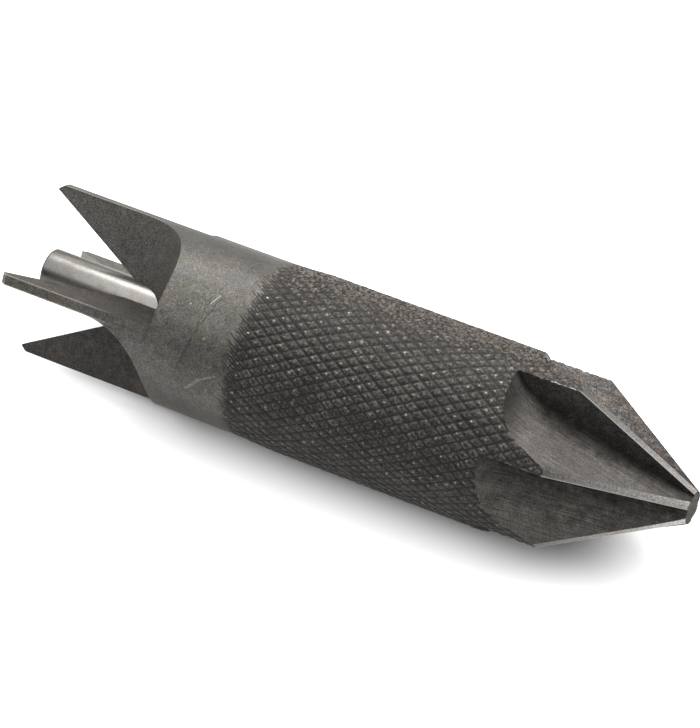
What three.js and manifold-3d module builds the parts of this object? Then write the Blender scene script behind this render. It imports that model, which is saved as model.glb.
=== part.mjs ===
// Double-ended deburring tool: a four-bladed crown for the outside of a tube, a six-fluted cone for the
// inside. Millimetres. The tool lies along X with the cone at +X; +Z is up and the origin is at mid-length
// on the tool's axis. Angles round the axis start at +Z and grow towards -Y.
import * as THREE from 'three';
import { mergeVertices } from 'three/addons/utils/BufferGeometryUtils.js';
import Module from 'manifold-3d';

// The bar
const LENGTH = 63.9;              // about 2 1/2 in
const BAR_RADIUS = 7.9375;        // 5/8 in bar, the smooth collar
const KNURL_RADIUS = 8.16;        // crests of the knurl, raised above the bar
const KNURL_START = 22.85;        // from the blade tips
const KNURL_RAMP = 4;             // length over which the knurl rises
const CONE_HALF_ANGLE = 30.8;
const CONE_TIP_RADIUS = 1.5;

// The crown
const BLADES = 4;
const BLADE_ANGLE = -31.7;        // middle of the first blade
const BLADE_THICKNESS = 1;        // the blades are two webs crossing at the axis
const CROWN_BORE_RADIUS = 7.4;    // internal cone at the blade tips
const CROWN_CONE_HALF_ANGLE = 30;
const BLADE_TIP_LAND = 0.12;
const BLADE_BEVEL_DEPTH = 0.5;
const POCKET_CUTTER_RADIUS = 6.35;
const POCKET_DEPTH = 15.1;        // from the blade tips to the end of the run-out

// The pilot pin and its blind bore
const PIN_RADIUS = 1.984;         // 5/32 in
const PIN_LENGTH = 22.2;
const PIN_SETBACK = 0.75;         // behind the blade tips
const PIN_CHAMFER = 0.3;
const PIN_CLEARANCE = 0.05;
const BORE_END_GAP = 0.8;
const DRILL_POINT_HALF_ANGLE = 59;

// The flutes of the cone
const FLUTES = 6;
const FLUTE_ANGLE = -4;           // cutting face of the first tooth
const FLUTE_FLOOR_SLOPE = 16.9;   // degrees between the floor and the axis
const FLUTE_FLOOR_AT_BASE = 4.68; // height of the floor above the axis where the cone starts
const FLUTE_CUTTER_RADIUS = 4.7625;
const FLUTE_TANGENT_BACK = 2.83;  // from the cone's base back to where the floor meets the run-out

const SIDES = 32;                 // a flat faces down, so the bar can lie still
const PIN_SIDES = 24;
const ARC_STEPS = 14;
const OVERCUT = 2;

const TIP_X = -LENGTH / 2;
const END_X = LENGTH / 2;
const CONE_BASE_X = END_X - (KNURL_RADIUS - CONE_TIP_RADIUS) / Math.tan(radians(CONE_HALF_ANGLE));

const wasm = await Module();
wasm.setup();

function radians(degrees) {
  return degrees * Math.PI / 180;
}

// Unit vector square to the axis, at an angle round it
function spoke(degrees) {
  return new THREE.Vector3(0, -Math.sin(radians(degrees)), Math.cos(radians(degrees)));
}

// A turned solid along X from [x, radius] points. Its flats touch the stated radii, and a flat faces down.
function turned(points, sides) {
  const outward = 1 / Math.cos(Math.PI / sides);
  const outline = points.map(([x, radius]) => new THREE.Vector2(radius * outward, x));
  const geometry = new THREE.LatheGeometry(outline, sides, Math.PI / sides, 2 * Math.PI);
  geometry.rotateZ(-Math.PI / 2);
  return geometry;
}

function toManifold(geometry) {
  const bare = geometry.clone();
  bare.deleteAttribute('normal');
  bare.deleteAttribute('uv');
  const merged = mergeVertices(bare, 1e-5);
  const vertProperties = Float32Array.from(merged.attributes.position.array);
  const triVerts = Uint32Array.from(merged.index.array);
  return new wasm.Manifold(new wasm.Mesh({ numProp: 3, vertProperties, triVerts }));
}

function toGeometry(solid) {
  const { vertProperties, triVerts } = solid.getMesh();
  const geometry = new THREE.BufferGeometry();
  geometry.setAttribute('position', new THREE.BufferAttribute(vertProperties, 3));
  geometry.setIndex(new THREE.BufferAttribute(triVerts, 1));
  geometry.computeVertexNormals();
  return geometry;
}

function barBlank() {
  const knurlX = TIP_X + KNURL_START;
  return turned([
    [TIP_X, 0],
    [TIP_X, CROWN_BORE_RADIUS + BLADE_TIP_LAND],
    [TIP_X + BLADE_BEVEL_DEPTH, BAR_RADIUS],
    [knurlX, BAR_RADIUS],
    [knurlX + KNURL_RAMP, KNURL_RADIUS],
    [CONE_BASE_X, KNURL_RADIUS],
    [END_X, CONE_TIP_RADIUS],
    [END_X, 0],
  ], SIDES);
}

// The internal cone of the crown, running out past the blade tips
function crownCone() {
  const slope = Math.tan(radians(CROWN_CONE_HALF_ANGLE));
  const mouth = CROWN_BORE_RADIUS + OVERCUT * slope;
  const apexX = TIP_X + CROWN_BORE_RADIUS / slope;
  return turned([[TIP_X - OVERCUT, 0], [TIP_X - OVERCUT, mouth], [apexX, 0]], SIDES);
}

function pinBore() {
  const radius = PIN_RADIUS + PIN_CLEARANCE;
  const floorX = TIP_X + PIN_SETBACK + PIN_LENGTH + BORE_END_GAP;
  const pointX = floorX + radius / Math.tan(radians(DRILL_POINT_HALF_ANGLE));
  return turned([[TIP_X - OVERCUT, 0], [TIP_X - OVERCUT, radius], [floorX, radius], [pointX, 0]], PIN_SIDES);
}

// One pocket between two blades: the cutter's side makes one blade's cutting face and the run-out, and its
// end makes the back of the next blade.
function crownPocket(index) {
  const angle = BLADE_ANGLE + index * 360 / BLADES;
  const face = BLADE_THICKNESS / 2;
  const reach = BAR_RADIUS + OVERCUT;
  const centreX = TIP_X + POCKET_DEPTH - POCKET_CUTTER_RADIUS;
  const centreY = face + POCKET_CUTTER_RADIUS;
  const arcEnd = Math.asin((reach - centreY) / POCKET_CUTTER_RADIUS);
  const shape = new THREE.Shape();
  shape.moveTo(TIP_X - OVERCUT, face);
  shape.lineTo(centreX, face);
  shape.absarc(centreX, centreY, POCKET_CUTTER_RADIUS, -Math.PI / 2, arcEnd, false);
  shape.lineTo(TIP_X - OVERCUT, reach);
  const depth = reach - face;
  const geometry = new THREE.ExtrudeGeometry(shape, { depth, bevelEnabled: false, curveSegments: ARC_STEPS });
  const along = new THREE.Vector3(1, 0, 0);
  const across = spoke(angle + 90);
  const inward = spoke(angle).negate();
  const place = new THREE.Matrix4().makeBasis(along, across, inward);
  place.setPosition(spoke(angle).multiplyScalar(reach));
  geometry.applyMatrix4(place);
  return geometry;
}

// One flute: the cutter's end makes the tooth's cutting face, its side the sloping floor and the run-out.
function coneFlute(index) {
  const angle = FLUTE_ANGLE + index * 360 / FLUTES;
  const slope = radians(FLUTE_FLOOR_SLOPE);
  const reach = KNURL_RADIUS + OVERCUT;
  const floorAt = (x) => FLUTE_FLOOR_AT_BASE - (x - CONE_BASE_X) * Math.tan(slope);
  const tangentX = CONE_BASE_X - FLUTE_TANGENT_BACK;
  const centreX = tangentX + FLUTE_CUTTER_RADIUS * Math.sin(slope);
  const centreZ = floorAt(tangentX) + FLUTE_CUTTER_RADIUS * Math.cos(slope);
  const arcEnd = 1.5 * Math.PI - slope;
  const shape = new THREE.Shape();
  shape.moveTo(END_X + OVERCUT, reach);
  shape.lineTo(centreX - FLUTE_CUTTER_RADIUS, reach);
  shape.absarc(centreX, centreZ, FLUTE_CUTTER_RADIUS, Math.PI, arcEnd, false);
  shape.lineTo(END_X + OVERCUT, floorAt(END_X + OVERCUT));
  const geometry = new THREE.ExtrudeGeometry(shape, {
    depth: reach,
    bevelEnabled: false,
    curveSegments: ARC_STEPS,
  });
  const along = new THREE.Vector3(1, 0, 0);
  geometry.applyMatrix4(new THREE.Matrix4().makeBasis(along, spoke(angle), spoke(angle + 90)));
  return geometry;
}

function makeBody() {
  let solid = toManifold(barBlank());
  const cuts = [crownCone(), pinBore()];
  for (let index = 0; index < BLADES; index += 1) {
    cuts.push(crownPocket(index));
  }
  for (let index = 0; index < FLUTES; index += 1) {
    cuts.push(coneFlute(index));
  }
  for (const cut of cuts) {
    solid = solid.subtract(toManifold(cut));
  }
  const steel = new THREE.MeshStandardMaterial({ color: 0x6d6862, roughness: 0.45, metalness: 0.9 });
  const mesh = new THREE.Mesh(toGeometry(solid), steel);
  mesh.name = 'body';
  return mesh;
}

function makePilotPin() {
  const startX = TIP_X + PIN_SETBACK;
  const endX = startX + PIN_LENGTH;
  const geometry = turned([
    [startX, 0],
    [startX, PIN_RADIUS - PIN_CHAMFER],
    [startX + PIN_CHAMFER, PIN_RADIUS],
    [endX - PIN_CHAMFER, PIN_RADIUS],
    [endX, PIN_RADIUS - PIN_CHAMFER],
    [endX, 0],
  ], PIN_SIDES);
  const steel = new THREE.MeshStandardMaterial({ color: 0xc9c7c2, roughness: 0.22, metalness: 1 });
  const mesh = new THREE.Mesh(geometry, steel);
  mesh.name = 'pilot_pin';
  return mesh;
}

const deburringTool = new THREE.Group();
deburringTool.add(makeBody(), makePilotPin());

export default deburringTool;
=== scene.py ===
"""Looks of the double-ended deburring tool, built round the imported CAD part.

The tool lies along X with its fluted cone at +X. Angles round the axis start at +Z and grow towards -Y.
Shapes are made in millimetres and brought to metres when they are finished.
"""
import math

import bpy
import numpy as np
from mathutils import Matrix, Vector


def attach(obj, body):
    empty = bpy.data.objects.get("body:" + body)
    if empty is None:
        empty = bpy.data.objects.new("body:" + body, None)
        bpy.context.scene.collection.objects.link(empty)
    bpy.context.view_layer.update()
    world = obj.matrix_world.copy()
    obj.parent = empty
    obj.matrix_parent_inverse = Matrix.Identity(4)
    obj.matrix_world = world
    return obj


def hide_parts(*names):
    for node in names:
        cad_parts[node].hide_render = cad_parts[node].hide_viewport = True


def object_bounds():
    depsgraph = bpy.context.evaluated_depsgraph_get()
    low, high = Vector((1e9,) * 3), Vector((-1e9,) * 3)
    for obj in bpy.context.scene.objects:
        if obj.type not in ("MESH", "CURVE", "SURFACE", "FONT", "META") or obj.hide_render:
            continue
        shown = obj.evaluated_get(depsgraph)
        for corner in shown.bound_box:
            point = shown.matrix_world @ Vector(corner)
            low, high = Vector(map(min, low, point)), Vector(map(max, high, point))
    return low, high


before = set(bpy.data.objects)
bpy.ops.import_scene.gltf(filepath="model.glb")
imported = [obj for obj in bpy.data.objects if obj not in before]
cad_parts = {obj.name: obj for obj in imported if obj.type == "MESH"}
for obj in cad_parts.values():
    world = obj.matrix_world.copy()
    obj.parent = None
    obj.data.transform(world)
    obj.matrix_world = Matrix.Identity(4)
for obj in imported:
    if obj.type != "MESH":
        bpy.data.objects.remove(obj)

CAD_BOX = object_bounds()
MM = 0.001

# The bar
LENGTH = 63.9
TIP_X = -LENGTH / 2
END_X = LENGTH / 2
BAR_RADIUS = 7.9375
KNURL_RADIUS = 8.155
KNURL_START_X = TIP_X + 22.85
CONE_HALF_ANGLE = math.radians(30.8)
CONE_TIP_RADIUS = 1.5
CONE_BASE_X = END_X - (KNURL_RADIUS - CONE_TIP_RADIUS) / math.tan(CONE_HALF_ANGLE)

# The diamond knurl: two families of helical grooves. Phases place one groove of each family.
KNURL_STARTS = 54
KNURL_AXIAL_PITCH = 1.603
KNURL_PHASE_X = KNURL_START_X - 0.43
KNURL_PHASE_ANGLE = math.radians(0.67)
KNURL_DEPTH = 0.16
KNURL_STEPS = 6                   # mesh steps from one groove to the next
KNURL_LAST_X = CONE_BASE_X + 0.6  # the knurl's mesh runs a little past the cone's base
GROOVE_HALF_WIDTH = 0.22          # as a share of the pitch
GROOVE_ROUNDING = 1.4
DIAMOND_FLAT = 0.85               # share of a diamond's height reached beside its grooves
DIAMOND_CROWN = 0.3               # and how much more it rises towards its centre
KNURL_RAMP = 4                    # length over which the knurl's crests rise above the bar
KNURL_ENTRY = 0.3                 # length over which the first fine tracks begin
KNURL_DELAY = 0.2                 # from the knurl's start to where its grooves begin
KNURL_FADE = 1.0                  # length over which the grooves reach their depth
SHALLOW_SHARE = 0.65              # share of their depth the grooves lose beside the cone
SHALLOW_BACK = 3.5                # from where that begins to the cone's base
SHALLOW_RUN = 3
HATCH_LINES = 3                   # fine tracks to a groove where the knurl starts
HATCH_LENGTH = 2.0
HATCH_DEPTH = 0.04
KNURL_WAVER = 0.1                 # how far the knurl's start strays to either side
DIAMOND_WEAR = 0.012
CENTRE_WEAR = 0.03
SURFACE_WEAR = 0.006

# The crown
BLADES = 4
BLADE_TURN = 2 * math.pi / BLADES
BLADE_ANGLE = math.radians(-31.7)
BLADE_THICKNESS = 1.0
CROWN_BORE_RADIUS = 7.4
CROWN_CONE_HALF_ANGLE = math.radians(30)
BLADE_TIP_LAND = 0.12
BLADE_BEVEL_DEPTH = 0.5
POCKET_CUTTER_RADIUS = 6.35
POCKET_DEPTH = 15.1

# The pilot pin
PIN_RADIUS = 1.984
PIN_LENGTH = 22.2
PIN_SETBACK = 0.75
PIN_EDGE = 0.3                    # radius of the rounded ends
PIN_SIDES = 96
PIN_EDGE_STEPS = 6
BORE_CLEARANCE = 0.012
BORE_END_GAP = 0.8
BORE_POINT_LENGTH = 1.2

# The flutes
FLUTES = 6
FLUTE_TURN = 2 * math.pi / FLUTES
FLUTE_ANGLE = math.radians(-4)
FLUTE_FLOOR_SLOPE = math.radians(16.9)
FLUTE_FLOOR_AT_BASE = 4.68
FLUTE_CUTTER_RADIUS = 4.7625
FLUTE_TANGENT_BACK = 2.83
FLUTE_TANGENT_X = CONE_BASE_X - FLUTE_TANGENT_BACK  # where the floor meets the run-out
FLUTE_MARGIN = 0.001              # radians, keeps a cutting face in its own flute

# The mesh
OVERCUT = 2
TIP_TOLERANCE = 0.001
BODY_CREASE = math.radians(25)    # sharper bends stay crisp
PIN_CREASE = math.radians(40)
SMOOTH_SIDES = 192
BAR_SIDES = KNURL_STARTS * KNURL_STEPS
COLLAR_COLUMNS = 24
COLLAR_MARGIN = 0.1               # the collar's surface ends this far before the knurl's start
ARC_STEPS = 40

SURFACES = ["knurl", "collar", "crown_cone", "blade_face", "blade_back", "flute_floor", "flute_wall",
            "land", "tip", "bore"]
SLOT = {name: index for index, name in enumerate(SURFACES)}


# ---------------------------------------------------------------- shader graphs

class Graph:
    """A material under construction, with short calls for the nodes it needs."""

    def __init__(self, name):
        self.material = bpy.data.materials.new(name)
        self.material.use_nodes = True
        self.tree = self.material.node_tree
        self.tree.nodes.clear()
        coordinates = self.tree.nodes.new("ShaderNodeTexCoord")
        self.position = self.scaled(coordinates.outputs["Object"], 1 / MM)
        self.x, self.y, self.z = self.split(self.position)

    def node(self, kind, inputs, **settings):
        made = self.tree.nodes.new(kind)
        for key, value in settings.items():
            setattr(made, key, value)
        for key, value in inputs.items():
            self.feed(made.inputs[key], value)
        return made

    def feed(self, socket, value):
        if isinstance(value, bpy.types.NodeSocket):
            self.tree.links.new(value, socket)
        else:
            socket.default_value = value

    def math(self, operation, first, second=0.0, clamp=False):
        made = self.node("ShaderNodeMath", {0: first, 1: second}, operation=operation)
        made.use_clamp = clamp
        return made.outputs[0]

    def plus(self, first, second):
        return self.math("ADD", first, second)

    def minus(self, first, second):
        return self.math("SUBTRACT", first, second)

    def times(self, first, second):
        return self.math("MULTIPLY", first, second)

    def larger(self, first, second):
        return self.math("MAXIMUM", first, second)

    def absolute(self, value):
        return self.math("ABSOLUTE", value)

    def vector_math(self, operation, first, second):
        made = self.node("ShaderNodeVectorMath", {0: first, 1: second}, operation=operation)
        return made.outputs["Vector"]

    def scaled(self, vector, factor):
        inputs = {0: vector, "Scale": factor}
        return self.node("ShaderNodeVectorMath", inputs, operation="SCALE").outputs["Vector"]

    def split(self, vector):
        return self.node("ShaderNodeSeparateXYZ", {0: vector}).outputs

    def join(self, x, y, z):
        return self.node("ShaderNodeCombineXYZ", {0: x, 1: y, 2: z}).outputs[0]

    def span(self, value, low, high, to_low=0.0, to_high=1.0):
        inputs = {"Value": value, "From Min": low, "From Max": high, "To Min": to_low, "To Max": to_high}
        return self.node("ShaderNodeMapRange", inputs).outputs["Result"]

    def vary(self, noise, low, high):
        """Follows a noise from low to high over the range that it mostly keeps to."""
        return self.span(noise, 0.3, 0.7, low, high)

    def dot(self, first, second):
        made = self.node("ShaderNodeVectorMath", {0: first, 1: second}, operation="DOT_PRODUCT")
        return made.outputs["Value"]

    def length(self, vector):
        return self.node("ShaderNodeVectorMath", {0: vector}, operation="LENGTH").outputs["Value"]

    def noise(self, vector, scale, detail, roughness=0.5):
        inputs = {"Vector": vector, "Scale": scale, "Detail": detail, "Roughness": roughness}
        return self.node("ShaderNodeTexNoise", inputs).outputs["Fac"]

    def shifted_noise(self, shift, scale, detail):
        """Noise unrelated to that at the surface point itself."""
        return self.noise(self.vector_math("ADD", self.position, shift), scale, detail)

    def turning_marks(self, density, detail):
        """Noise that changes only along the axis."""
        return self.noise(self.join(self.times(self.x, density), 0.0, 0.0), 1.0, detail)

    def mix(self, share, first, second, blend="MIX"):
        made = self.tree.nodes.new("ShaderNodeMix")
        made.data_type = "RGBA"
        made.blend_type = blend
        self.feed(made.inputs["Factor"], share)
        self.feed(made.inputs[6], colour(first))
        self.feed(made.inputs[7], colour(second))
        return made.outputs[2]

    def shade(self, base, amount):
        """The colour base made lighter or darker by a factor."""
        grey = self.join(amount, amount, amount)
        return self.mix(1.0, base, grey, "MULTIPLY")

    def bump(self, height, distance, strength, normal=None):
        inputs = {"Height": height, "Distance": distance * MM, "Strength": strength}
        if normal is not None:
            inputs["Normal"] = normal
        return self.node("ShaderNodeBump", inputs).outputs["Normal"]

    def finish(self, **inputs):
        named = {key.replace("_", " ").title(): colour(value) for key, value in inputs.items()}
        shader = self.node("ShaderNodeBsdfPrincipled", named)
        output = self.tree.nodes.new("ShaderNodeOutputMaterial")
        self.tree.links.new(shader.outputs[0], output.inputs["Surface"])
        return self.material

    def radius(self):
        return self.math("SQRT", self.plus(self.times(self.y, self.y), self.times(self.z, self.z)))

    def angle(self):
        """Angle round the axis, from +Z towards -Y, in radians."""
        return self.math("ARCTAN2", self.times(self.y, -1.0), self.z)


def colour(value):
    """Red, green and blue get an alpha of 1. Anything else stays as it is."""
    if isinstance(value, tuple) and len(value) == 3:
        return (*value, 1.0)
    return value


def knurl_phase_sockets(g, wander):
    """How many grooves of each family lie between the surface point and the first one."""
    turn = g.times(g.minus(g.angle(), KNURL_PHASE_ANGLE), KNURL_STARTS / (2 * math.pi))
    turn = g.plus(turn, wander)
    along = g.math("DIVIDE", g.minus(g.x, KNURL_PHASE_X), KNURL_AXIAL_PITCH)
    return g.plus(turn, along), g.minus(turn, along)


def knurl_hatch(g, second, along):
    """1 in the fine extra lines at the knurl's start. Each line begins and ends at its own place."""
    fine = g.times(second, HATCH_LINES)
    line = g.math("FLOOR", g.plus(fine, 0.5))
    chance = g.node("ShaderNodeTexWhiteNoise", {"W": line}, noise_dimensions="1D").outputs["Color"]
    early, late, depth = g.split(chance)
    begin = g.minus(along, g.span(early, 0.0, 1.0, -0.7, 0.2))
    end = g.minus(along, g.span(late, 0.0, 1.0, 0.5 * HATCH_LENGTH, HATCH_LENGTH))
    length = g.times(g.span(begin, 0.0, 0.35), g.span(end, 0.0, 0.4, 1.0, 0.0))
    stripe = g.span(g.math("PINGPONG", fine, 0.5), 0.12, 0.42, 1.0, 0.0)
    return g.times(g.times(stripe, length), g.span(depth, 0.0, 1.0, 0.6, 1.0))


def spot(g, first, second, shift, near, far):
    """1 inside a small spot of each diamond, moved from its centre by shift, falling to 0 at far."""
    u = g.plus(g.minus(g.math("FRACT", first), 0.5), shift[0])
    v = g.plus(g.minus(g.math("FRACT", second), 0.5), shift[1])
    return g.span(g.length(g.join(u, v, 0.0)), near, far, 1.0, 0.0)


def knurl_grooves(g, first, second, along, grain, grown):
    """1 in the grooves of both families and in the fine lines at the knurl's start."""
    width = g.vary(grain, 0.10, 0.22)
    line_one = g.times(g.span(g.math("PINGPONG", first, 0.5), 0.02, width, 1.0, 0.0), grown)
    line_two = g.span(g.math("PINGPONG", second, 0.5), 0.02, width, 1.0, 0.0)
    return g.larger(g.larger(line_one, line_two), knurl_hatch(g, second, along))


def knurl_steel(g, along, chance, grain, coarse):
    """Colour of the diamonds. Each has its own tone, and the underside gets painted shade."""
    patch = g.noise(g.position, 0.45, 3.0)
    base = g.mix(g.span(along, 0.0, 0.6), (0.054, 0.0515, 0.048), (0.0275, 0.0262, 0.0247))
    base = g.shade(base, g.span(chance, 0.0, 1.0, 0.78, 1.22))
    base = g.shade(base, g.span(patch, 0.35, 0.65, 0.82, 1.18))
    base = g.shade(base, g.vary(coarse, 0.5, 1.45))
    base = g.shade(base, g.span(grain, 0.35, 0.65, 0.35, 1.6))
    # Painted shade on the underside.
    return g.shade(base, g.span(g.absolute(g.angle()), 1.55, 2.1, 1.0, 0.7))


def knurl_tarnish(g, base, upper, grain):
    """Adds brown patches and specks, strongest along the upper side."""
    rust = g.span(g.noise(g.position, 0.8, 4.0, 0.65), 0.46, 0.68)
    rust = g.times(rust, g.span(upper, 0.0, 1.0, 0.12, 0.9))
    base = g.mix(rust, base, g.shade((0.060, 0.048, 0.039), g.span(grain, 0.35, 0.65, 0.3, 1.7)))
    fleck = g.shifted_noise((7.0, 3.0, 5.0), 4.6, 1.0)
    hue = g.span(g.shifted_noise((2.0, 9.0, 4.0), 4.0, 1.0), 0.4, 0.6)
    flecked = g.shade(base, g.span(fleck, 0.36, 0.64, 0.0, 1.9))
    flecked = g.mix(1.0, flecked, g.mix(hue, (1.16, 0.95, 0.82), (0.92, 1.0, 0.97)), "MULTIPLY")
    base = g.mix(g.span(upper, 0.0, 1.0, 0.4, 1.0), base, flecked)
    dots = g.times(g.span(fleck, 0.54, 0.63), g.span(upper, 0.2, 1.0, 0.0, 0.7))
    return g.mix(dots, base, g.mix(hue, (0.125, 0.098, 0.076), (0.105, 0.100, 0.084)))


def knurl_pits(g, first, second, red, green, blue):
    """1 in the small pit of each diamond, which gets painted shade."""
    shift = (g.span(green, 0, 1, -0.2, 0.2), g.span(blue, 0, 1, -0.2, 0.2))
    pit = spot(g, first, second, shift, 0.05, 0.17)
    return g.times(pit, g.span(red, 0.15, 0.5, 0.3, 0.95))


def knurl_glints(g, first, second, green, blue, coarse):
    """1 on a small spot of each diamond, off its centre, where a painted highlight goes."""
    shift = (g.span(green, 0, 1, 0.02, 0.34), g.span(blue, 0, 1, -0.34, 0.05))
    glint = spot(g, first, second, shift, 0.02, 0.15)
    glint = g.times(glint, g.span(blue, 0.2, 0.95, 0.1, 1.0))
    return g.times(glint, g.span(coarse, 0.4, 0.6, 0.2, 1.0))


def knurl_edge_highlight(g, coarse):
    """Broken painted highlight along the edge where a flute cuts into the knurl, faint past the first
    flute.
    """
    burr = g.times(cutting_edge(g), g.span(g.x, CONE_BASE_X - 4.2, CONE_BASE_X - 3.0))
    burr = g.times(burr, g.span(coarse, 0.42, 0.56, 0.1, 1.0))
    return g.times(burr, g.span(g.angle(), 0.2, 0.3, 1.0, 0.1))


def knurl_material():
    g = Graph("knurled_steel")
    grain = g.noise(g.position, 8.0, 3.0, 0.7)
    coarse = g.noise(g.position, 3.2, 3.0, 0.6)
    wander = g.vary(g.noise(g.position, 2.2, 2.0), -0.05, 0.05)
    first, second = knurl_phase_sockets(g, wander)
    cell = g.join(g.math("FLOOR", first), g.math("FLOOR", second), 0.0)
    chance = g.node("ShaderNodeTexWhiteNoise", {"Vector": cell}, noise_dimensions="2D").outputs["Color"]
    red, green, blue = g.split(chance)
    along = g.minus(g.x, KNURL_START_X)
    grown = g.span(g.plus(along, g.vary(coarse, -0.25, 0.25)), 0.15, 0.8)
    upper = g.span(g.absolute(g.plus(g.angle(), 0.75)), 0.2, 0.9, 1.0, 0.0)
    groove = knurl_grooves(g, first, second, along, grain, grown)
    pit = knurl_pits(g, first, second, red, green, blue)
    glint = knurl_glints(g, first, second, green, blue, coarse)
    base = knurl_steel(g, along, red, grain, coarse)
    base = knurl_tarnish(g, base, upper, grain)
    # Painted shade in the grooves and fine tracks, weaker along the upper side.
    base = g.mix(g.times(groove, g.span(upper, 0.2, 1.0, 0.9, 0.6)), base, (0.010, 0.0093, 0.0082))
    # Painted shade in each diamond's pit.
    base = g.mix(g.times(pit, grown), base, (0.010, 0.009, 0.008))
    # Painted highlight beside each pit.
    base = g.mix(g.times(glint, grown), base, (0.20, 0.19, 0.175))
    # Painted highlight along the flute's edge in the knurl.
    base = g.mix(knurl_edge_highlight(g, coarse), base, (0.24, 0.24, 0.235))
    height = g.minus(g.times(grain, 0.6), g.larger(groove, pit))
    rough = g.minus(g.span(grain, 0.2, 0.8, 0.42, 0.62), g.times(glint, 0.15))
    return g.finish(base_color=base, metallic=0.8, roughness=rough, specular_tint=(0.86, 0.85, 0.84),
                    normal=g.bump(height, 0.03, 0.6))


def scratch(g, place, start, end, width):
    """1 on a straight scratch between two (x, angle) points of the collar, falling to 0 at its width."""
    first = Vector((start[0], math.radians(start[1]) * BAR_RADIUS, 0))
    run = Vector((end[0], math.radians(end[1]) * BAR_RADIUS, 0)) - first
    offset = g.vector_math("SUBTRACT", place, tuple(first))
    share = g.math("ADD", g.dot(offset, tuple(run / run.length_squared)), 0.0, clamp=True)
    nearest = g.scaled(tuple(run), share)
    away = g.length(g.vector_math("SUBTRACT", offset, nearest))
    return g.span(away, 0.35 * width, width, 1.0, 0.0)


def blade_edge_highlights(g):
    """1 along the outer edges of the four blades, where a painted highlight goes."""
    turned_by = g.minus(g.angle(), BLADE_ANGLE - BLADE_TURN / 2)
    folded = g.minus(g.math("FLOORED_MODULO", turned_by, BLADE_TURN), BLADE_TURN / 2)
    across = g.times(g.radius(), g.math("SINE", folded))
    off = g.absolute(g.minus(g.absolute(across), BLADE_THICKNESS / 2))
    edge = g.span(off, 0.04, 0.15, 1.0, 0.0)
    return g.times(edge, g.span(g.x, TIP_X + 8, TIP_X + 12, 1.0, 0.0))


def collar_steel(g, mottle, grain):
    """Colour of the collar, with painted shade along its top and its underside."""
    cloud = g.noise(g.position, 0.25, 2.0)
    warmth = g.span(g.noise(g.position, 0.6, 3.0), 0.4, 0.6)
    base = g.mix(warmth, (0.062, 0.0580, 0.0505), (0.060, 0.058, 0.0545))
    base = g.shade(base, g.vary(mottle, 0.76, 1.24))
    base = g.shade(base, g.span(cloud, 0.35, 0.65, 0.86, 1.14))
    base = g.shade(base, g.vary(grain, 0.42, 1.58))
    base = g.shade(base, g.span(g.noise(g.position, 4.5, 1.0), 0.34, 0.66, 0.86, 1.14))
    # Painted light and shade: a touch lighter towards the front, darker along the top, darker still
    # underneath.
    turn_from_lit_front = g.absolute(g.minus(g.angle(), 1.1))
    base = g.shade(base, g.span(turn_from_lit_front, 0.45, 0.95, 1.03, 0.84))
    return g.shade(base, g.span(g.absolute(g.angle()), 1.75, 2.3, 1.0, 0.76))


def collar_scratches(g, base, mottle, grain):
    """Adds two dark scratches, a pale one, a fleck and two bright nicks, as (x, degrees) on the collar, and
    a painted highlight along the blades' outer edges.
    """
    place = g.join(g.x, g.times(g.angle(), BAR_RADIUS), 0.0)
    wavy = g.vector_math("ADD", place, g.join(g.vary(mottle, -0.15, 0.15), 0.0, 0.0))
    dark = g.larger(scratch(g, wavy, (-11.7, 21.7), (-13.8, 75), 0.11),
                    scratch(g, wavy, (-12.5, 21.7), (-12.8, 46), 0.09))
    pale = g.larger(scratch(g, wavy, (-12.7, 86.5), (-11.4, 76.3), 0.16),
                    scratch(g, wavy, (-11.4, 76.3), (-10, 70.3), 0.12))
    fleck = scratch(g, place, (-11.85, 49.6), (-11.75, 49), 0.14)
    bright = g.larger(scratch(g, place, (-12.4, 27.3), (-11.9, 20.1), 0.045),
                      scratch(g, place, (-14.1, 31.7), (-14.08, 31.3), 0.07))
    base = g.mix(g.times(dark, 0.5), base, (0.016, 0.015, 0.0135))
    base = g.mix(g.times(pale, g.span(grain, 0.35, 0.6, 0.1, 0.8)), base, (0.14, 0.135, 0.125))
    base = g.mix(g.times(fleck, 0.8), base, (0.17, 0.15, 0.10))
    # Painted highlight along the blades' outer edges.
    wear_and_highlight = g.times(blade_edge_highlights(g), g.vary(grain, 0.3, 1.0))
    base = g.mix(wear_and_highlight, base, (0.34, 0.32, 0.29))
    return g.mix(bright, base, (0.225, 0.212, 0.195))


def collar_material():
    g = Graph("satin_collar")
    mottle = g.noise(g.position, 1.6, 4.0, 0.65)
    grain = g.noise(g.position, 9.5, 2.0, 0.7)
    base = collar_steel(g, mottle, grain)
    base = collar_scratches(g, base, mottle, grain)
    second = knurl_phase_sockets(g, g.vary(mottle, -0.05, 0.05))[1]
    hatch = knurl_hatch(g, second, g.minus(g.x, KNURL_START_X))
    # Painted shade in the fine tracks where the knurl starts.
    base = g.mix(hatch, base, (0.012, 0.011, 0.010))
    rough = g.vary(mottle, 0.44, 0.56)
    normal = g.bump(g.turning_marks(9.0, 2.0), 0.006, 0.4)
    normal = g.bump(grain, 0.015, 0.6, normal)
    return g.finish(base_color=base, metallic=0.85, roughness=rough, specular_tint=(0.78, 0.77, 0.76),
                    normal=normal)


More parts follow.
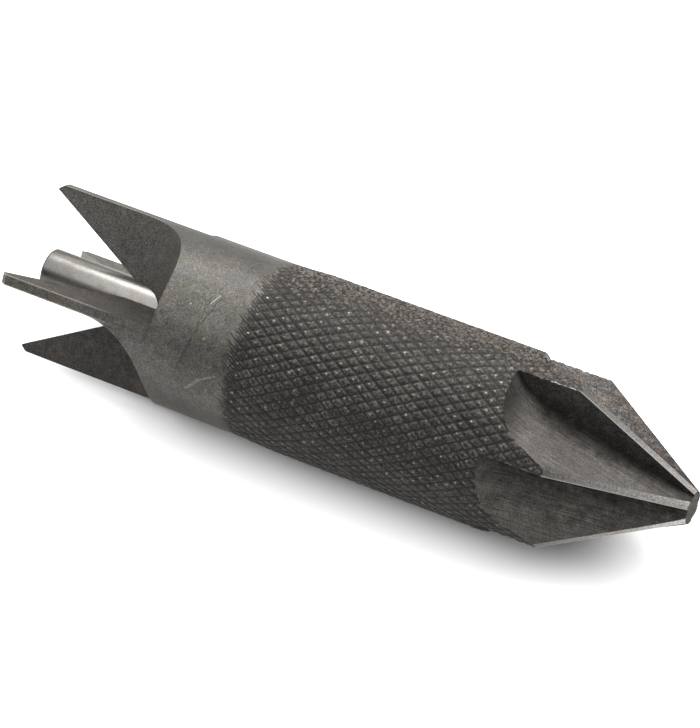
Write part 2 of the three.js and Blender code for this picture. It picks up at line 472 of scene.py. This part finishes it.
def blade_material(name, steel):
    g = Graph(name)
    mottle = g.noise(g.position, 1.3, 4.0, 0.65)
    grain = g.noise(g.position, 8.0, 3.0, 0.7)
    base = g.shade(steel, g.vary(mottle, 0.74, 1.26))
    brown = g.times(g.span(g.noise(g.position, 0.8, 3.0), 0.54, 0.72), 0.5)
    base = g.mix(brown, base, (0.066, 0.053, 0.042))
    base = g.shade(base, g.span(grain, 0.35, 0.65, 0.45, 1.6))
    speck = g.shifted_noise((3.0, 6.0, 1.0), 3.6, 2.0)
    edge_tint = g.shade((1.0, 0.94, 0.86), g.span(speck, 0.38, 0.62, 0.5, 1.0))
    rough = g.vary(mottle, 0.5, 0.64)
    normal = g.bump(speck, 0.05, 0.7, g.bump(grain, 0.03, 0.7))
    return g.finish(base_color=base, metallic=0.8, roughness=rough, specular_tint=edge_tint, normal=normal)


def crown_cone_material():
    g = Graph("reamed_crown_cone")
    rings = g.turning_marks(6.0, 2.0)
    grain = g.noise(g.position, 5.0, 3.0)
    base = g.shade((0.14, 0.134, 0.124), g.vary(grain, 0.8, 1.2))
    return g.finish(base_color=base, metallic=0.9, roughness=0.36, normal=g.bump(rings, 0.01, 0.5))


def flute_across(g):
    """Distance across a flute from its cutting face."""
    turned_by = g.minus(g.angle(), FLUTE_ANGLE - FLUTE_MARGIN)
    folded = g.math("FLOORED_MODULO", turned_by, FLUTE_TURN)
    return g.times(g.radius(), g.math("SINE", folded))


def flute_painted_shade(g, base, across, mottle):
    """Paints shade on the floors beside the cutting faces, wider past the first flute. The first flute's
    run-out gets painted light instead.
    """
    second = FLUTE_ANGLE + FLUTE_TURN
    narrowing = g.span(g.angle(), second, second + 0.02, 1.0, 0.55)
    shade_distance = g.plus(g.times(across, narrowing), g.vary(mottle, -0.5, 0.5))
    swept = g.times(g.span(g.x, FLUTE_TANGENT_X - 1.4, FLUTE_TANGENT_X + 0.4, 1.0, 0.0),
                    g.span(narrowing, 0.55, 1.0, 0.1, 1.0))
    shade_distance = g.plus(shade_distance, g.times(swept, g.span(across, 0.15, 0.7, 0.0, 2.2)))
    # Painted shade, darkest beside the cutting face.
    base = g.shade(base, g.span(shade_distance, 0.1, 2.6, 0.38, 1.25))
    # Painted light on the first flute's run-out.
    run_out_light = g.times(swept, g.span(across, 1.0, 3.2, 0.5, 0.0))
    return g.shade(base, g.plus(run_out_light, 1.0))


def flute_floor_material():
    g = Graph("milled_flute_floors")
    across = flute_across(g)
    drift = g.times(g.x, 0.25)
    lines = g.noise(g.join(drift, g.times(across, 5.5), 0.0), 1.0, 4.0, 0.7)
    fine = g.noise(g.join(drift, g.times(across, 17.0), 0.0), 1.0, 2.0, 0.6)
    mottle = g.noise(g.position, 1.1, 4.0, 0.65)
    base = g.shade((0.049, 0.046, 0.0428), g.span(lines, 0.35, 0.65, 0.7, 1.3))
    base = g.shade(base, g.vary(fine, 0.68, 1.32))
    base = g.shade(base, g.vary(mottle, 0.8, 1.2))
    base = g.shade(base, g.vary(g.noise(g.position, 8.0, 2.0), 0.6, 1.4))
    brown = g.span(g.noise(g.position, 0.9, 4.0, 0.65), 0.48, 0.7, 0.0, 0.35)
    base = g.mix(brown, base, (0.066, 0.055, 0.045))
    base = flute_painted_shade(g, base, across, mottle)
    speck = g.shifted_noise((3.0, 6.0, 1.0), 3.6, 2.0)
    edge_tint = g.shade((0.55, 0.53, 0.5), g.span(speck, 0.38, 0.62, 0.6, 1.4))
    rough = g.vary(lines, 0.38, 0.55)
    normal = g.bump(lines, 0.02, 0.6)
    normal = g.bump(fine, 0.008, 0.6, normal)
    return g.finish(base_color=base, metallic=0.82, roughness=rough, specular_tint=edge_tint, normal=normal)


def cutting_edge(g):
    """1 along the cutting edge of each tooth, where its land meets its cutting face. The bright lines drawn
    there are painted highlights.
    """
    turned_by = g.minus(g.angle(), FLUTE_ANGLE - FLUTE_TURN / 2)
    folded = g.minus(g.math("FLOORED_MODULO", turned_by, FLUTE_TURN), FLUTE_TURN / 2)
    across = g.absolute(g.times(g.radius(), g.math("SINE", folded)))
    return g.span(across, 0.03, 0.13, 0.8, 0.0)


def flute_wall_material():
    """The cutting faces. Those behind the first tooth are browner, with pale scuffs."""
    g = Graph("milled_cutting_faces")
    mottle = g.noise(g.position, 1.2, 3.0, 0.6)
    grain = g.noise(g.position, 7.0, 3.0, 0.7)
    behind = g.span(g.angle(), -0.6, -0.3, 1.0, 0.0)
    brown = g.span(g.noise(g.position, 1.1, 4.0, 0.7), 0.42, 0.62)
    brown = g.times(brown, g.span(behind, 0.0, 1.0, 0.4, 1.0))
    base = g.mix(brown, (0.034, 0.0325, 0.032), (0.050, 0.040, 0.033))
    at_tip = g.span(behind, 0.0, 1.0, 0.9, 0.5)
    base = g.shade(base, g.span(g.x, CONE_BASE_X - 2, END_X, 1.3, at_tip))
    scuff = g.noise(g.vector_math("MULTIPLY", g.position, (0.8, 1.7, 1.7)), 1.3, 4.0, 0.75)
    scuff = g.times(g.span(scuff, 0.50, 0.62), g.span(behind, 0.0, 1.0, 0.0, 0.7))
    scuff = g.times(scuff, g.span(g.x, CONE_BASE_X, END_X, 1.0, 0.25))
    base = g.mix(scuff, base, (0.100, 0.089, 0.080))
    base = g.shade(base, g.vary(mottle, 0.7, 1.3))
    base = g.shade(base, g.span(grain, 0.35, 0.65, 0.25, 1.8))
    return g.finish(base_color=base, metallic=0.8, roughness=0.52, normal=g.bump(grain, 0.03, 0.6))


def land_material():
    g = Graph("ground_lands")
    grain = g.noise(g.position, 6.0, 3.0, 0.6)
    rings = g.turning_marks(12.0, 1.0)
    base = g.shade((0.185, 0.178, 0.168), g.vary(grain, 0.5, 1.5))
    base = g.shade(base, g.vary(rings, 0.9, 1.1))
    base = g.shade(base, g.span(g.x, CONE_BASE_X, END_X - 2, 0.55, 1.6))
    # Painted highlight along the cutting edges.
    base = g.mix(cutting_edge(g), base, (0.34, 0.33, 0.31))
    return g.finish(base_color=base, metallic=0.85, roughness=0.42, normal=g.bump(rings, 0.006, 0.5))


def tip_material():
    g = Graph("faced_tip")
    grain = g.noise(g.position, 6.0, 3.0, 0.6)
    base = g.shade((0.014, 0.0135, 0.0125), g.span(grain, 0.35, 0.65, 0.1, 1.9))
    edge_tint = g.shade((1.0, 0.96, 0.9), g.span(grain, 0.35, 0.65, 0.35, 0.9))
    return g.finish(base_color=base, metallic=0.85, roughness=0.5, specular_tint=edge_tint,
                    normal=g.bump(grain, 0.04, 0.6))


def bore_material():
    g = Graph("drilled_bore")
    grain = g.noise(g.position, 4.0, 2.0)
    base = g.shade((0.02, 0.019, 0.017), g.vary(grain, 0.8, 1.2))
    return g.finish(base_color=base, metallic=0.7, roughness=0.6)


def pin_material():
    g = Graph("ground_pin")
    turning = g.turning_marks(8.0, 3.0)
    stain = g.noise(g.position, 1.2, 3.0)
    grain = g.noise(g.position, 9.0, 2.0)
    base = g.mix(g.span(stain, 0.45, 0.7, 0.0, 0.6), (0.118, 0.114, 0.108), (0.098, 0.087, 0.077))
    base = g.shade(base, g.span(g.x, TIP_X, TIP_X + 9, 0.62, 1.16))
    base = g.shade(base, g.vary(grain, 0.82, 1.18))
    rough = g.vary(stain, 0.28, 0.38)
    return g.finish(base_color=base, metallic=1.0, roughness=rough, specular_tint=(0.62, 0.62, 0.58),
                    normal=g.bump(turning, 0.0015, 0.3))


# ---------------------------------------------------------------- solids, in millimetres

def spoke(angle):
    """Unit vector square to the axis, at an angle round it."""
    return Vector((0.0, -math.sin(angle), math.cos(angle)))


def mesh_object(name, points, faces, slots):
    """A mesh object whose faces take the surfaces named in slots, one for each face."""
    mesh = bpy.data.meshes.new(name)
    mesh.from_pydata([tuple(p) for p in points], [], faces)
    for surface in SURFACES:
        mesh.materials.append(MATERIALS[surface])
    mesh.polygons.foreach_set("material_index", [SLOT[s] for s in slots])
    made = bpy.data.objects.new(name, mesh)
    bpy.context.scene.collection.objects.link(made)
    return made


def turned(name, outline, surface, sides=SMOOTH_SIDES):
    """A closed solid turned round X from (x, radius) points; its first and last radius are 0."""
    points = [(outline[0][0], 0, 0)]
    for x, radius in outline[1:-1]:
        for step in range(sides):
            points.append(Vector((x, 0, 0)) + spoke(2 * math.pi * step / sides) * radius)
    points.append((outline[-1][0], 0, 0))
    rings = len(outline) - 2
    faces = []
    for step in range(sides):
        after = (step + 1) % sides
        faces.append((0, 1 + after, 1 + step))
        last = 1 + (rings - 1) * sides
        faces.append((len(points) - 1, last + step, last + after))
        for ring in range(rings - 1):
            low = 1 + ring * sides
            high = low + sides
            faces.append((low + step, low + after, high + after, high + step))
    return mesh_object(name, points, faces, [surface] * len(faces))


def prism(name, outline, place, depth, side_surface, near_surface, far_surface):
    """A prism from a counter-clockwise outline. It grows along its own third axis from near to far."""
    count = len(outline)
    points = [place @ Vector((x, y, z)) for z in (0, depth) for x, y in outline]
    faces = [tuple(reversed(range(count))), tuple(range(count, 2 * count))]
    slots = [near_surface, far_surface]
    for index in range(count):
        after = (index + 1) % count
        faces.append((index, after, after + count, index + count))
        slots.append(side_surface)
    return mesh_object(name, points, faces, slots)


def basis(first, second, third, origin=Vector((0, 0, 0))):
    matrix = Matrix((first, second, third)).transposed().to_4x4()
    matrix.translation = origin
    return matrix


def arc(centre_x, centre_y, radius, start, end):
    angles = [start + (end - start) * step / ARC_STEPS for step in range(ARC_STEPS + 1)]
    return [(centre_x + radius * math.cos(a), centre_y + radius * math.sin(a)) for a in angles]


def groove_share(phase):
    """0 at the bottom of a groove, rising to 1 on the diamond beside it."""
    away = np.abs(phase - np.round(phase))
    return 1 - np.clip(1 - away / GROOVE_HALF_WIDTH, 0, 1) ** GROOVE_ROUNDING


def knurl_wear(first, second, flat, rng):
    """How far each diamond is worn down, most of all at its centre."""
    uneven = rng.normal(0, 1, (KNURL_STARTS, KNURL_STARTS))
    cell = uneven[np.floor(first).astype(int) % KNURL_STARTS, np.floor(second).astype(int) % KNURL_STARTS]
    cell = np.clip(np.abs(cell), 0, 2.5)
    centre = np.hypot(first % 1 - 0.5, second % 1 - 0.5) < 0.5 / KNURL_STEPS
    return DIAMOND_WEAR * cell * flat + CENTRE_WEAR * cell * centre + SURFACE_WEAR * rng.random(first.shape)


def knurl_radius(x, angle, rng):
    """Radius of the bar's surface: smooth collar, then diamonds between two families of grooves."""
    turn = KNURL_STARTS * (angle - KNURL_PHASE_ANGLE) / (2 * math.pi)
    along = (x - KNURL_PHASE_X) / KNURL_AXIAL_PITCH
    first = turn + along
    second = turn - along
    past = x - KNURL_START_X - KNURL_WAVER * np.sin(3 * angle + 1)
    ramp = np.clip(past / KNURL_RAMP, 0, 1)
    entry = np.clip(past / KNURL_ENTRY, 0, 1)
    grown = np.clip((past - KNURL_DELAY) / KNURL_FADE, 0, 1)
    nearest = np.minimum(np.abs(first - np.round(first)), np.abs(second - np.round(second)))
    flat = DIAMOND_FLAT * np.minimum(groove_share(first), groove_share(second)) + DIAMOND_CROWN * nearest
    shallow = 1 - SHALLOW_SHARE * np.clip((x - CONE_BASE_X + SHALLOW_BACK) / SHALLOW_RUN, 0, 1)
    wear_and_highlight = knurl_wear(first, second, flat, rng)
    crest = BAR_RADIUS + (KNURL_RADIUS - BAR_RADIUS) * ramp
    track = 1 - 2 * np.abs(HATCH_LINES * second - np.round(HATCH_LINES * second))
    hatch = HATCH_DEPTH * entry * (1 - grown) * track
    surface = crest - grown * (KNURL_DEPTH * shallow * (1 - flat) + wear_and_highlight) - hatch
    return np.where(past < -KNURL_WAVER, BAR_RADIUS, surface)


def bar_columns():
    """X of each ring of the bar's mesh, and where the knurl's rings end."""
    step = KNURL_AXIAL_PITCH / (2 * KNURL_STEPS)
    knurled = int((KNURL_LAST_X - KNURL_PHASE_X) / step)
    knurled += knurled % 2
    columns = list(np.linspace(TIP_X + BLADE_BEVEL_DEPTH, KNURL_PHASE_X - step, COLLAR_COLUMNS))
    columns += [KNURL_PHASE_X + index * step for index in range(knurled)]
    knurl_end = columns[-1]
    columns += list(np.linspace(knurl_end + 1, END_X + OVERCUT, 4))
    return columns, knurl_end


def ring_points(x, radius, angles):
    points = np.stack([x, -radius * np.sin(angles), radius * np.cos(angles)], -1)
    return points.reshape(-1, 3)


def bar_points(columns, knurl_end):
    """The rings' points, every other ring turned by half a side, then the ring at the blade tips."""
    rng = np.random.default_rng(5)
    odd = (np.arange(len(columns)) % 2)[:, None]
    side = np.arange(BAR_SIDES)
    angles = (side[None, :] + 0.5 * odd) * 2 * math.pi / BAR_SIDES + KNURL_PHASE_ANGLE
    spread = np.broadcast_to(np.array(columns)[:, None], angles.shape)
    radii = np.where(spread > knurl_end, BAR_RADIUS, knurl_radius(spread, angles, rng))
    tip_angles = side * 2 * math.pi / BAR_SIDES + KNURL_PHASE_ANGLE
    tip = ring_points(np.full(BAR_SIDES, TIP_X), CROWN_BORE_RADIUS + BLADE_TIP_LAND, tip_angles)
    return np.concatenate([ring_points(spread, radii, angles), tip])


def strip_faces(here, there, turned_back):
    """Triangles between two rings. The far ring is half a side ahead, or behind if turned back."""
    faces = []
    for index in range(BAR_SIDES):
        after = (index + 1) % BAR_SIDES
        if turned_back:
            faces.append((here + index, there + after, there + index))
            faces.append((here + index, here + after, there + after))
        else:
            faces.append((here + index, here + after, there + index))
            faces.append((there + index, here + after, there + after))
    return faces


def bar_blank():
    """The bar with its collar and knurl, before the crown and the cone are cut."""
    columns, knurl_end = bar_columns()
    faces, slots = [], []
    for column in range(len(columns) - 1):
        here = column * BAR_SIDES
        faces += strip_faces(here, here + BAR_SIDES, column % 2 == 1)
        surface = "collar" if columns[column] < KNURL_START_X - COLLAR_MARGIN else "knurl"
        slots += [surface] * (2 * BAR_SIDES)
    last = (len(columns) - 1) * BAR_SIDES
    tip_ring = last + BAR_SIDES
    for index in range(BAR_SIDES):
        after = (index + 1) % BAR_SIDES
        faces.append((tip_ring + index, tip_ring + after, after, index))
        slots.append("collar")
    faces.append(tuple(reversed(range(tip_ring, tip_ring + BAR_SIDES))))
    slots.append("crown_cone")
    faces.append(tuple(range(last, last + BAR_SIDES)))
    slots.append("land")
    return mesh_object("body_detail", bar_points(columns, knurl_end), faces, slots)


def cone_envelope():
    """What the bar is turned down to at the fluted end."""
    slope = math.tan(CONE_HALF_ANGLE)
    wide = KNURL_RADIUS + OVERCUT
    base_x = END_X - (wide - CONE_TIP_RADIUS) / slope
    outline = [(TIP_X - OVERCUT, 0), (TIP_X - OVERCUT, wide), (base_x, wide)]
    outline += [(END_X, CONE_TIP_RADIUS), (END_X, 0)]
    envelope = turned("cone_envelope", outline, "land")
    for face in envelope.data.polygons:
        if min(envelope.data.vertices[v].co.x for v in face.vertices) > END_X - TIP_TOLERANCE:
            face.material_index = SLOT["tip"]
    return envelope


def crown_cone_cutter():
    slope = math.tan(CROWN_CONE_HALF_ANGLE)
    mouth = CROWN_BORE_RADIUS + OVERCUT * slope
    apex_x = TIP_X + CROWN_BORE_RADIUS / slope
    outline = [(TIP_X - OVERCUT, 0), (TIP_X - OVERCUT, mouth), (apex_x, 0)]
    return turned("crown_cone_cutter", outline, "crown_cone")


def bore_cutter():
    radius = PIN_RADIUS + BORE_CLEARANCE
    floor_x = TIP_X + PIN_SETBACK + PIN_LENGTH + BORE_END_GAP
    outline = [(TIP_X - OVERCUT, 0), (TIP_X - OVERCUT, radius), (floor_x, radius)]
    outline += [(floor_x + BORE_POINT_LENGTH, 0)]
    return turned("bore_cutter", outline, "bore", PIN_SIDES)


def pocket_cutter(index):
    """The gap between two blades, with its run-out."""
    angle = BLADE_ANGLE + index * BLADE_TURN
    face = BLADE_THICKNESS / 2
    reach = BAR_RADIUS + OVERCUT
    centre_x = TIP_X + POCKET_DEPTH - POCKET_CUTTER_RADIUS
    centre_y = face + POCKET_CUTTER_RADIUS
    end = math.asin((reach - centre_y) / POCKET_CUTTER_RADIUS)
    outline = [(TIP_X - OVERCUT, face)]
    outline += arc(centre_x, centre_y, POCKET_CUTTER_RADIUS, -math.pi / 2, end)
    outline += [(TIP_X - OVERCUT, reach)]
    place = basis(Vector((1, 0, 0)), spoke(angle + math.pi / 2), -spoke(angle), spoke(angle) * reach)
    name = f"pocket_cutter_{index}"
    return prism(name, outline, place, reach - face, "blade_face", "blade_face", "blade_back")


def flute_cutter(index):
    """The gap between two teeth of the cone, with its run-out."""
    angle = FLUTE_ANGLE + index * FLUTE_TURN
    slope = FLUTE_FLOOR_SLOPE
    reach = KNURL_RADIUS + OVERCUT
    tangent_height = FLUTE_FLOOR_AT_BASE + FLUTE_TANGENT_BACK * math.tan(slope)
    centre_x = FLUTE_TANGENT_X + FLUTE_CUTTER_RADIUS * math.sin(slope)
    centre_height = tangent_height + FLUTE_CUTTER_RADIUS * math.cos(slope)
    end_x = END_X + OVERCUT
    floor_end = tangent_height - (end_x - FLUTE_TANGENT_X) * math.tan(slope)
    outline = [(end_x, reach), (centre_x - FLUTE_CUTTER_RADIUS, reach)]
    outline += arc(centre_x, centre_height, FLUTE_CUTTER_RADIUS, math.pi, 1.5 * math.pi - slope)
    outline += [(end_x, floor_end)]
    place = basis(Vector((1, 0, 0)), spoke(angle), spoke(angle + math.pi / 2))
    name = f"flute_cutter_{index}"
    return prism(name, outline, place, reach, "flute_floor", "flute_wall", "flute_floor")


def combine(target, tool, operation):
    """Cuts the target with the tool, or keeps what they share, then removes the tool."""
    modifier = target.modifiers.new("cut", "BOOLEAN")
    modifier.operation = operation
    modifier.solver = "MANIFOLD"
    modifier.material_mode = "INDEX"
    modifier.object = tool
    bpy.context.view_layer.update()
    depsgraph = bpy.context.evaluated_depsgraph_get()
    result = bpy.data.meshes.new_from_object(target.evaluated_get(depsgraph))
    target.modifiers.clear()
    before = target.data
    target.data = result
    bpy.data.meshes.remove(before)
    bpy.data.objects.remove(tool)


def mark_edges(mesh, sharp_angle):
    """Shades the mesh smooth, but keeps bends sharper than sharp_angle crisp, except between two faces of
    the knurl.
    """
    mesh.polygons.foreach_set("use_smooth", [True] * len(mesh.polygons))
    sides = {}
    for polygon in mesh.polygons:
        for key in polygon.edge_keys:
            sides.setdefault(key, []).append(polygon)
    knurl = SLOT["knurl"]
    sharp = []
    for edge in mesh.edges:
        pair = sides.get(edge.key, [])
        crisp = False
        if len(pair) == 2:
            one, two = pair
            both_knurl = one.material_index == knurl and two.material_index == knurl
            bend = one.normal.angle(two.normal, 0.0)
            crisp = not both_knurl and bend > sharp_angle
        sharp.append(crisp)
    mesh.edges.foreach_set("use_edge_sharp", sharp)


def to_metres(piece):
    piece.data.transform(Matrix.Scale(MM, 4))
    piece.data.update()


def make_body():
    body = bar_blank()
    combine(body, cone_envelope(), "INTERSECT")
    combine(body, crown_cone_cutter(), "DIFFERENCE")
    combine(body, bore_cutter(), "DIFFERENCE")
    for index in range(BLADES):
        combine(body, pocket_cutter(index), "DIFFERENCE")
    for index in range(FLUTES):
        combine(body, flute_cutter(index), "DIFFERENCE")
    mark_edges(body.data, BODY_CREASE)
    to_metres(body)
    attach(body, "root")
    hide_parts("body")


def make_pin():
    start = TIP_X + PIN_SETBACK
    end = start + PIN_LENGTH
    quarter = [math.pi / 2 * step / PIN_EDGE_STEPS for step in range(PIN_EDGE_STEPS + 1)]
    rounding = [(PIN_EDGE * (1 - math.sin(a)), PIN_RADIUS - PIN_EDGE * (1 - math.cos(a))) for a in quarter]
    front = [(start + inset, radius) for inset, radius in reversed(rounding)]
    back = [(end - inset, radius) for inset, radius in rounding]
    pin = turned("pilot_pin_detail", [(start, 0), *front, *back, (end, 0)], "land", PIN_SIDES)
    pin.data.materials.clear()
    pin.data.materials.append(pin_material())
    pin.data.polygons.foreach_set("material_index", [0] * len(pin.data.polygons))
    mark_edges(pin.data, PIN_CREASE)
    to_metres(pin)
    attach(pin, "root")
    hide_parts("pilot_pin")


# ---------------------------------------------------------------- stage

CAMERA_DISTANCE = 0.3327
CAMERA_AZIMUTH = math.radians(27.9)
CAMERA_ELEVATION = math.radians(44.3)
CAMERA_AIM = Vector((-1.106, 0.72, 1.206)) * MM
CAMERA_LENS = 196.6
FLOOR_HALF_SIZE = 3.0
FLOOR_COLOUR = (0.75, 0.75, 0.75)
WORLD_STRENGTH = 0.3

# Name, place and size in metres, power in watts
SOFTBOXES = [
    ("softbox_overhead", (-0.1, 0.05, 0.85), (2.4, 2.3), 60.0),
    ("softbox_behind", (-0.32, 0.42, 0.74), (0.5, 0.35), 5.0),
    ("softbox_rear", (-0.3, 0.85, 0.36), (0.9, 0.4), 2.8),
]


def make_camera():
    data = bpy.data.cameras.new("camera")
    data.sensor_fit = "HORIZONTAL"
    data.sensor_width = 36
    data.lens = CAMERA_LENS
    data.clip_start = 0.01
    camera = bpy.data.objects.new("camera", data)
    bpy.context.scene.collection.objects.link(camera)
    outward = Vector((
        math.sin(CAMERA_AZIMUTH) * math.cos(CAMERA_ELEVATION),
        -math.cos(CAMERA_AZIMUTH) * math.cos(CAMERA_ELEVATION),
        math.sin(CAMERA_ELEVATION),
    ))
    camera.location = CAMERA_AIM + outward * CAMERA_DISTANCE
    camera.rotation_euler = (-outward).to_track_quat("-Z", "Y").to_euler()
    bpy.context.scene.camera = camera


def make_floor():
    mesh = bpy.data.meshes.new("floor")
    half = FLOOR_HALF_SIZE
    level = CAD_BOX[0][2]
    corners = [(-half, -half, level), (half, -half, level), (half, half, level), (-half, half, level)]
    mesh.from_pydata(corners, [], [(0, 1, 2, 3)])
    floor = bpy.data.objects.new("floor", mesh)
    bpy.context.scene.collection.objects.link(floor)
    material = bpy.data.materials.new("pale_floor")
    material.use_nodes = True
    shader = material.node_tree.nodes["Principled BSDF"]
    shader.inputs["Base Color"].default_value = colour(FLOOR_COLOUR)
    shader.inputs["Roughness"].default_value = 0.9
    shader.inputs["Specular IOR Level"].default_value = 0.1
    mesh.materials.append(material)


def make_light(name, place, size, power):
    data = bpy.data.lights.new(name, "AREA")
    data.shape = "RECTANGLE"
    data.size, data.size_y = size
    data.energy = power
    light = bpy.data.objects.new(name, data)
    bpy.context.scene.collection.objects.link(light)
    light.location = place
    light.rotation_euler = (-Vector(place)).to_track_quat("-Z", "Y").to_euler()


def make_world():
    world = bpy.data.worlds.new("studio")
    bpy.context.scene.world = world
    world.use_nodes = True
    background = world.node_tree.nodes["Background"]
    background.inputs["Color"].default_value = (1, 1, 1, 1)
    background.inputs["Strength"].default_value = WORLD_STRENGTH


def make_stage():
    make_camera()
    make_floor()
    make_world()
    for name, place, size, power in SOFTBOXES:
        make_light(name, place, size, power)
    bpy.context.scene.view_settings.view_transform = "Standard"


MATERIALS = {
    "knurl": knurl_material(),
    "collar": collar_material(),
    "crown_cone": crown_cone_material(),
    "blade_face": blade_material("blade_cutting_faces", (0.060, 0.0575, 0.054)),
    # The backs take the same recipe at half the colour: partly their own milled finish, partly painted
    # shade.
    "blade_back": blade_material("blade_backs", (0.030, 0.0288, 0.028)),
    "flute_floor": flute_floor_material(),
    "flute_wall": flute_wall_material(),
    "land": land_material(),
    "tip": tip_material(),
    "bore": bore_material(),
}
make_stage()
make_body()
make_pin()
